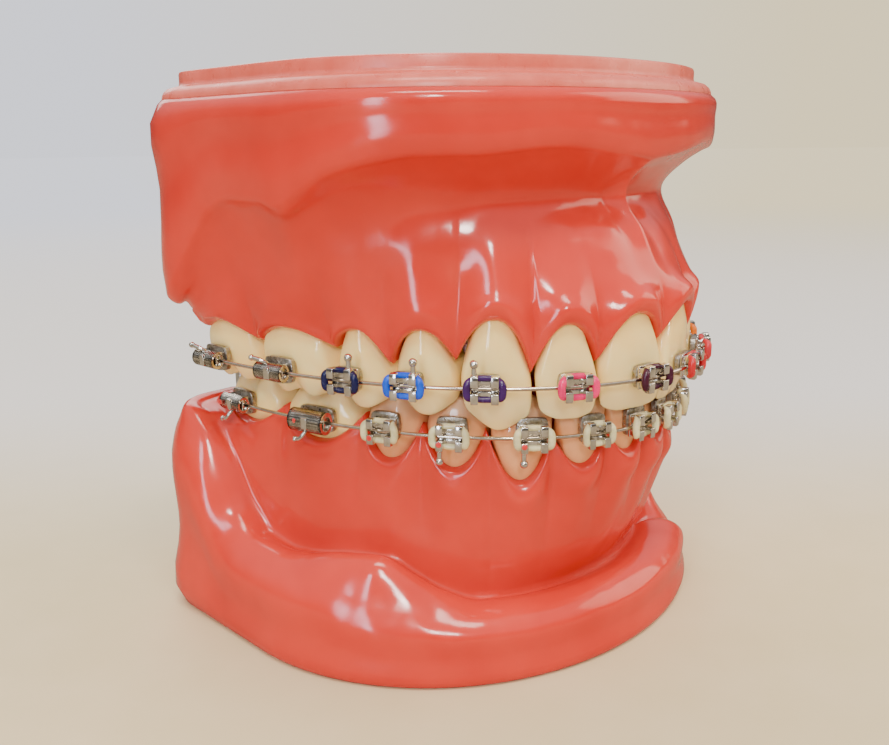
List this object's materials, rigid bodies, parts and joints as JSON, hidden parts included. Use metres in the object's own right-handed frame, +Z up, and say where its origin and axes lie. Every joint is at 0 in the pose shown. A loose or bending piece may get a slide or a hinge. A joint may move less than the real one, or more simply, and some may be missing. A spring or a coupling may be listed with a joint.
{
  "type": "orthodontic typodont",
  "caption": "Hinged dental demonstration model: upper and lower gum bases with teeth, steel brackets, archwires and coloured elastic ties.",
  "frame": {"origin": "on the table under the middle of the closed model's bounding box, at the lower base's flat underside", "axes": "+Z up, -Y towards the front teeth, +X towards the patient's left, so the hinge is at +Y"},
  "size_m": [0.062, 0.0566, 0.0612],
  "materials": {
    "gum_resin": "glossy coral gum resin",
    "plate_resin": "dull pink resin",
    "tooth_resin": "glossy ivory resin",
    "bracket_steel": "tumbled stainless steel",
    "wire_steel": "bright drawn stainless wire",
    "hinge_steel": "plated steel"
  },
  "bodies": {
    "lower_jaw": {"lower_base": "gum_resin", "lower_right_central_incisor": "tooth_resin", "lower_right_central_incisor_bracket": "bracket_steel", "lower_right_lateral_incisor": "tooth_resin", "lower_right_lateral_incisor_bracket": "bracket_steel", "lower_right_canine": "tooth_resin", "lower_right_canine_bracket": "bracket_steel", "lower_right_first_premolar": "tooth_resin", "lower_right_first_premolar_bracket": "bracket_steel", "lower_right_second_premolar": "tooth_resin", "lower_right_second_premolar_bracket": "bracket_steel", "lower_right_first_molar": "tooth_resin", "lower_right_second_molar": "tooth_resin", "lower_left_central_incisor": "tooth_resin", "lower_left_central_incisor_bracket": "bracket_steel", "lower_left_lateral_incisor": "tooth_resin", "lower_left_lateral_incisor_bracket": "bracket_steel", "lower_left_canine": "tooth_resin", "lower_left_canine_bracket": "bracket_steel", "lower_left_first_premolar": "tooth_resin", "lower_left_first_premolar_bracket": "bracket_steel", "lower_left_second_premolar": "tooth_resin", "lower_left_second_premolar_bracket": "bracket_steel", "lower_left_first_molar": "tooth_resin", "lower_left_second_molar": "tooth_resin", "lower_archwire": "wire_steel", "lower_hinge_leaf": "hinge_steel", "lower_right_hinge_screw": "hinge_steel", "lower_left_hinge_screw": "hinge_steel", "hinge_pin": "hinge_steel"},
    "upper_jaw": {"upper_base": "gum_resin", "upper_base_plate": "plate_resin", "upper_right_central_incisor": "tooth_resin", "upper_right_central_incisor_bracket": "bracket_steel", "upper_right_lateral_incisor": "tooth_resin", "upper_right_lateral_incisor_bracket": "bracket_steel", "upper_right_canine": "tooth_resin", "upper_right_canine_bracket": "bracket_steel", "upper_right_first_premolar": "tooth_resin", "upper_right_first_premolar_bracket": "bracket_steel", "upper_right_second_premolar": "tooth_resin", "upper_right_second_premolar_bracket": "bracket_steel", "upper_right_first_molar": "tooth_resin", "upper_right_second_molar": "tooth_resin", "upper_left_central_incisor": "tooth_resin", "upper_left_central_incisor_bracket": "bracket_steel", "upper_left_lateral_incisor": "tooth_resin", "upper_left_lateral_incisor_bracket": "bracket_steel", "upper_left_canine": "tooth_resin", "upper_left_canine_bracket": "bracket_steel", "upper_left_first_premolar": "tooth_resin", "upper_left_first_premolar_bracket": "bracket_steel", "upper_left_second_premolar": "tooth_resin", "upper_left_second_premolar_bracket": "bracket_steel", "upper_left_first_molar": "tooth_resin", "upper_left_second_molar": "tooth_resin", "upper_archwire": "wire_steel", "upper_hinge_leaf": "hinge_steel", "upper_right_hinge_screw": "hinge_steel", "upper_left_hinge_screw": "hinge_steel"}
  },
  "joints": [
    {"name": "jaw_hinge", "type": "hinge", "parent": "lower_jaw", "child": "upper_jaw", "pos_m": [0, 0.0265, 0.028], "axis": [-1, 0, 0], "range_deg": [0, 90]}
  ]
}
